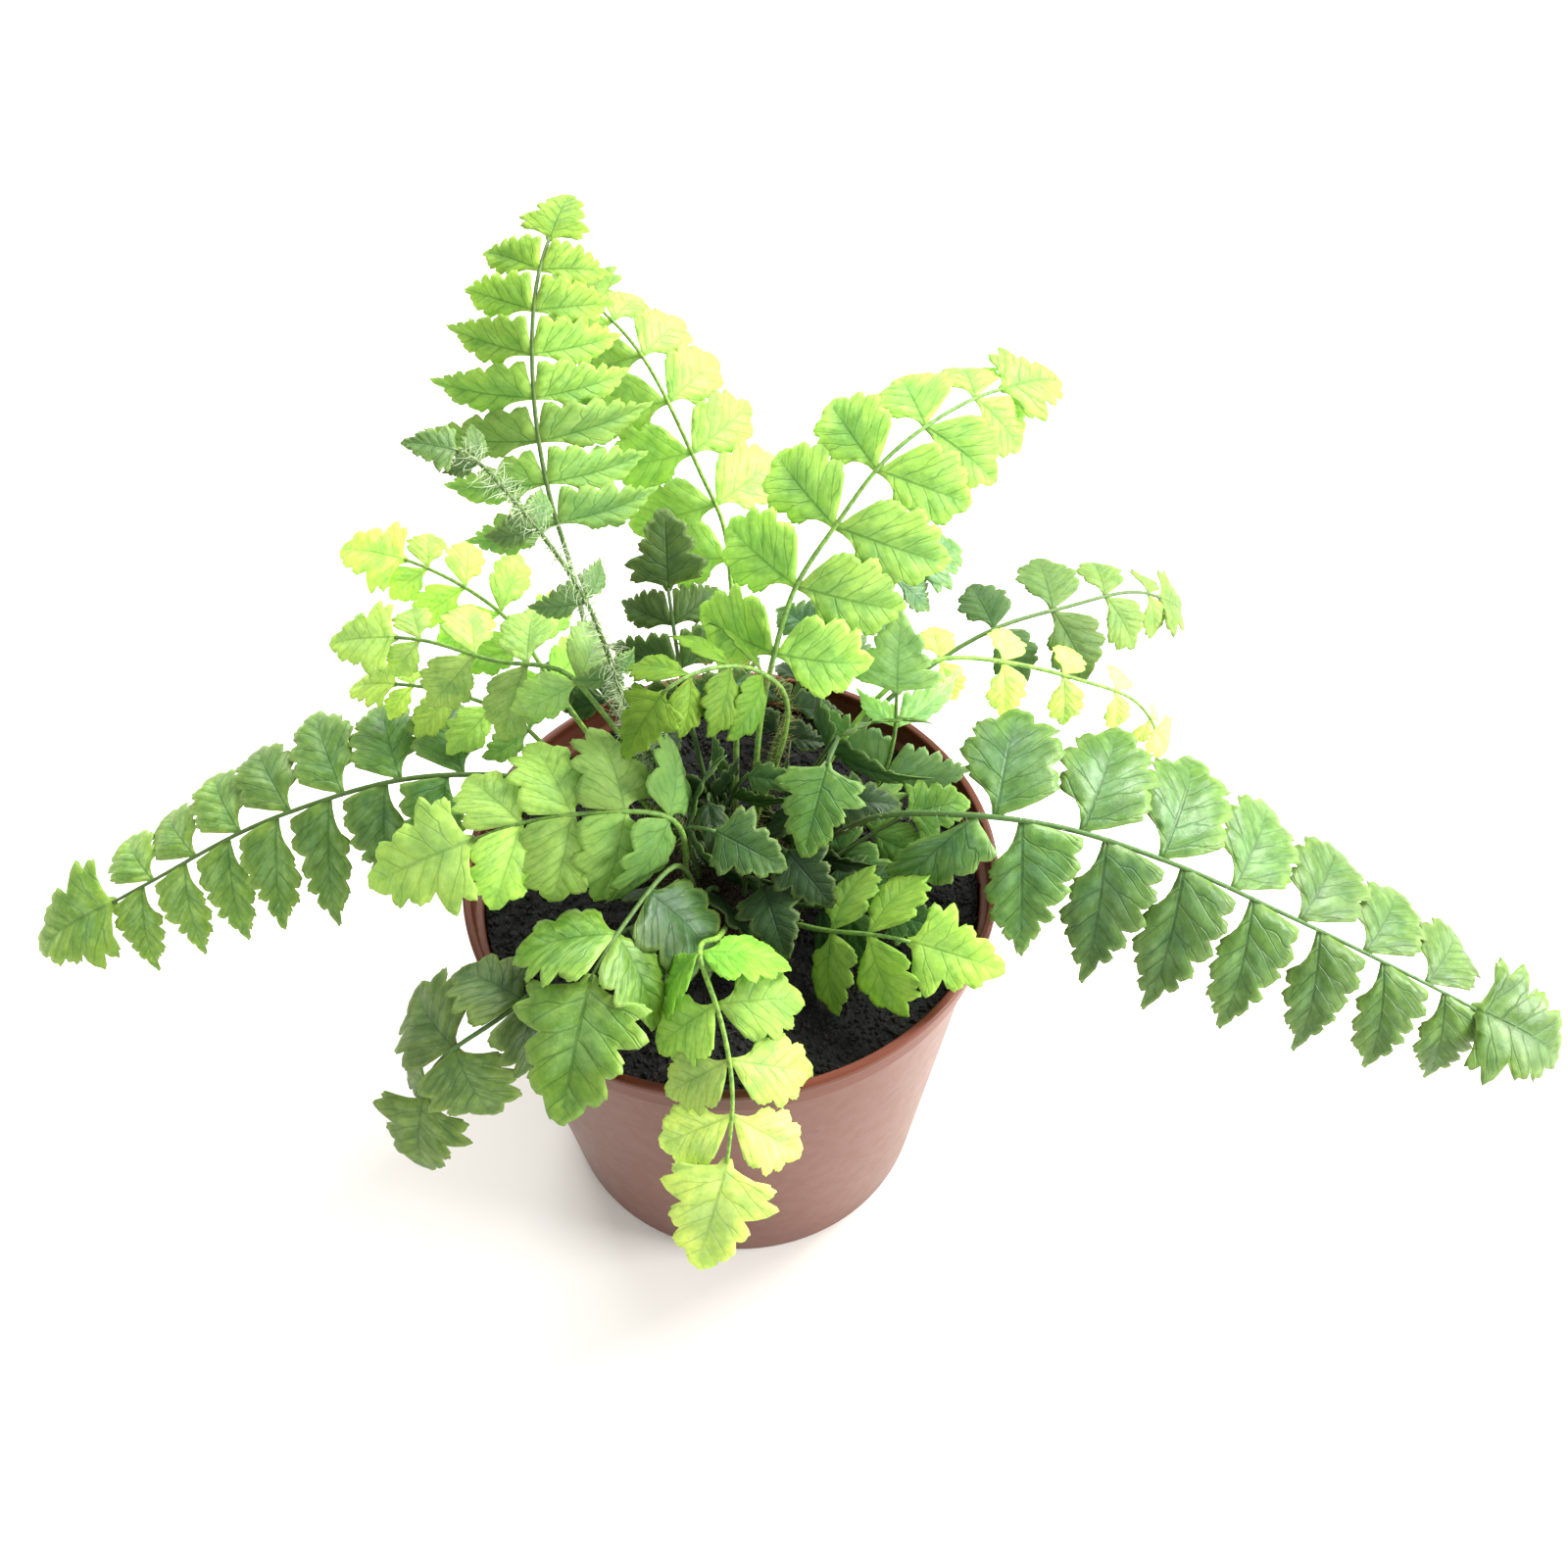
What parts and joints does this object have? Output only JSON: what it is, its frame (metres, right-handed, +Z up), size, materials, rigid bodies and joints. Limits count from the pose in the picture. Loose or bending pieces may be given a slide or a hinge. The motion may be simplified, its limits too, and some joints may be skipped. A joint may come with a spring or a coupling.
{
  "type": "potted fern",
  "caption": "Small potted fern with holly-like leaflets on arching fronds, growing from a short crown in soil in a round tapered nursery pot.",
  "frame": {"origin": "middle of the pot's underside, on the surface that it stands on", "axes": "+Z up; +X towards the longest frond, to the right in the picture; +Y away from the picture's camera"},
  "size_m": [0.3674, 0.2123, 0.2108],
  "materials": {
    "pot_plastic": "satin moulded plastic, brown-rose",
    "soil": "matt damp potting soil, near black",
    "crown": "matt brown scaly rootstock",
    "frond_dark": "satin leaf, dark green in the plant's shade",
    "frond_deep": "satin leaf, deep bluish green",
    "frond_mid": "satin leaf, mid green",
    "frond_bright": "satin leaf, bright light green",
    "frond_yellow": "thin young leaf, yellow-green"
  },
  "bodies": {
    "root": {"pot": "pot_plastic", "soil": "soil", "crown": "crown", "frond_left_low": "frond_mid", "frond_left_mid": "frond_bright", "frond_front_left": "frond_mid", "frond_front_left_low": "frond_deep", "frond_front": "frond_yellow", "frond_front_right": "frond_bright", "frond_right": "frond_deep", "frond_right_up": "frond_bright", "frond_top": "frond_mid", "frond_top_behind": "frond_yellow", "frond_young_hairy": "frond_mid", "frond_left_up_yellow": "frond_yellow", "frond_left_up_green": "frond_bright", "frond_left_low_yellow": "frond_bright", "frond_centre_dark": "frond_dark", "frond_centre_young": "frond_bright", "frond_right_back_upright": "frond_bright", "frond_right_back_yellow": "frond_yellow", "frond_right_back_green": "frond_mid", "frond_back_right_dark": "frond_dark", "frond_inner_right": "frond_dark", "frond_inner_far_right": "frond_dark", "frond_inner_low_right": "frond_deep", "frond_inner_back_left": "frond_dark", "frond_inner_back": "frond_dark", "frond_inner_front": "frond_dark", "frond_inner_left": "frond_deep", "frond_inner_centre": "frond_dark", "frond_inner_mid_left": "frond_dark", "frond_inner_mid_back": "frond_deep", "frond_inner_high": "frond_dark", "frond_inner_near": "frond_dark"}
  },
  "joints": []
}
